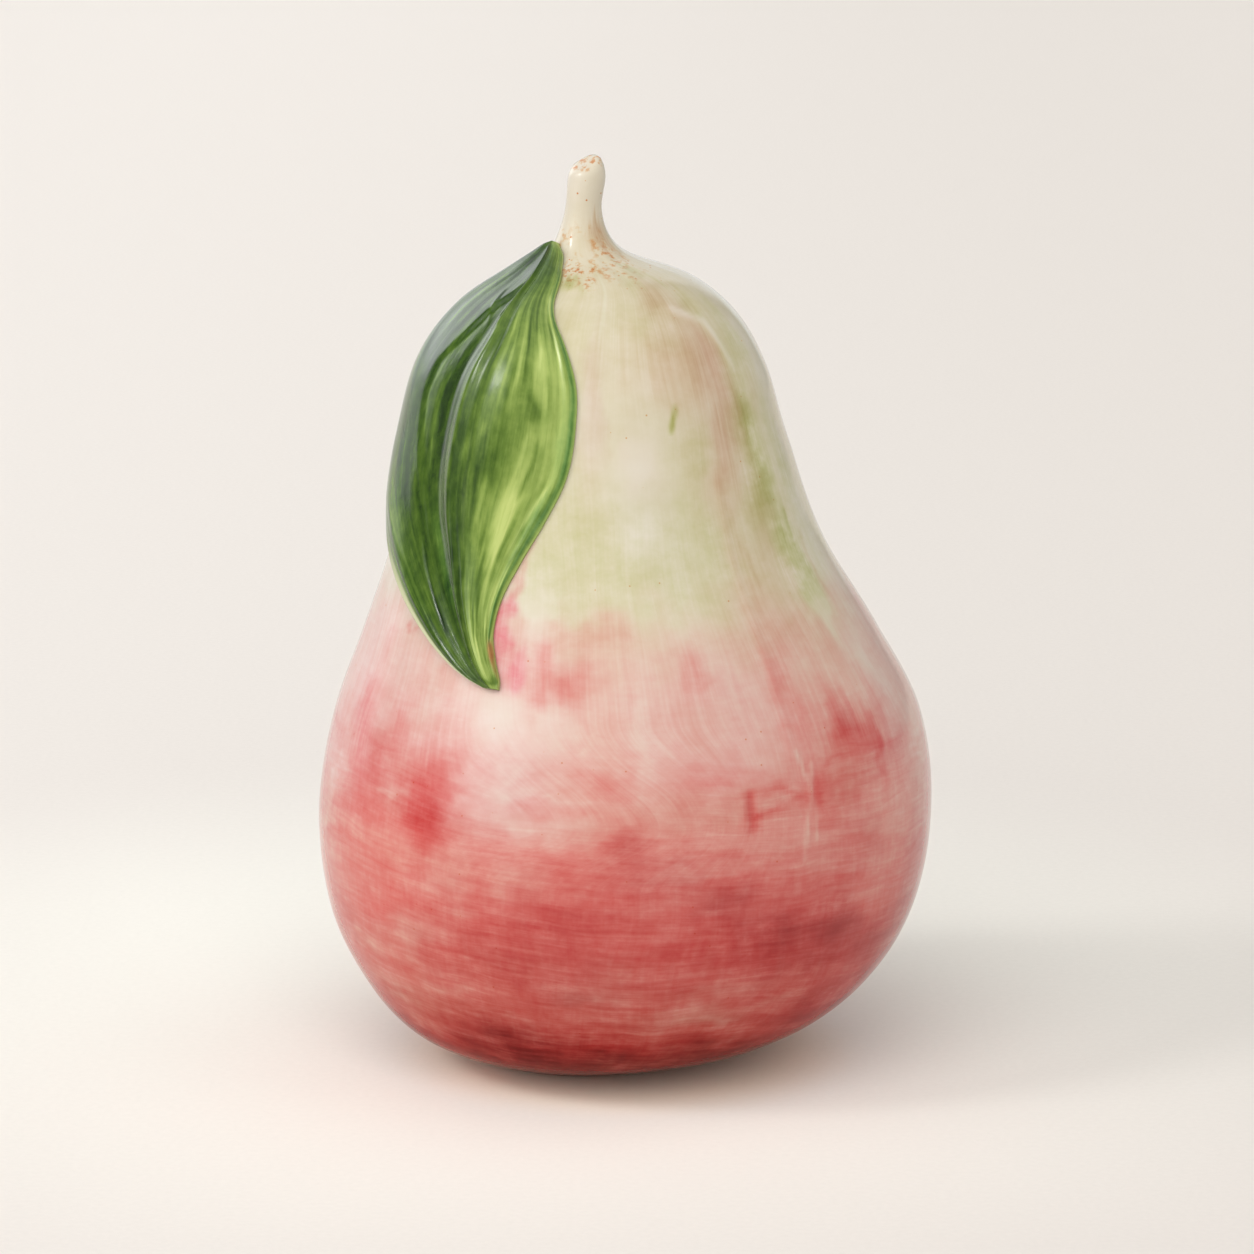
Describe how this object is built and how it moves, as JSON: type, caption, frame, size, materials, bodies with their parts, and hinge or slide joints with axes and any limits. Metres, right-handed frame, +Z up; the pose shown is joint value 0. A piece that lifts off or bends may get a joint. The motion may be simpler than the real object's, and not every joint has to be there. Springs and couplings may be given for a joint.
{
  "type": "ceramic pear ornament",
  "caption": "Hollow glazed ceramic pear with a short stem and a leaf in relief over its shoulder, hand painted from cream green to rose red, standing on a small flat foot.",
  "frame": {"origin": "on the table, under the middle of the belly's box", "axes": "+Z up along the pear's height to its stem, -Y to the front, which shows the leaf on the left of the shoulder, +X to the right"},
  "size_m": [0.1008, 0.1008, 0.1494],
  "materials": {
    "painted_body": "glossy clear glaze over brushed underglaze paint",
    "painted_leaf": "glossy clear glaze over brushed underglaze paint"
  },
  "bodies": {
    "root": {"pear_body": "painted_body", "leaf": "painted_leaf"}
  },
  "joints": []
}
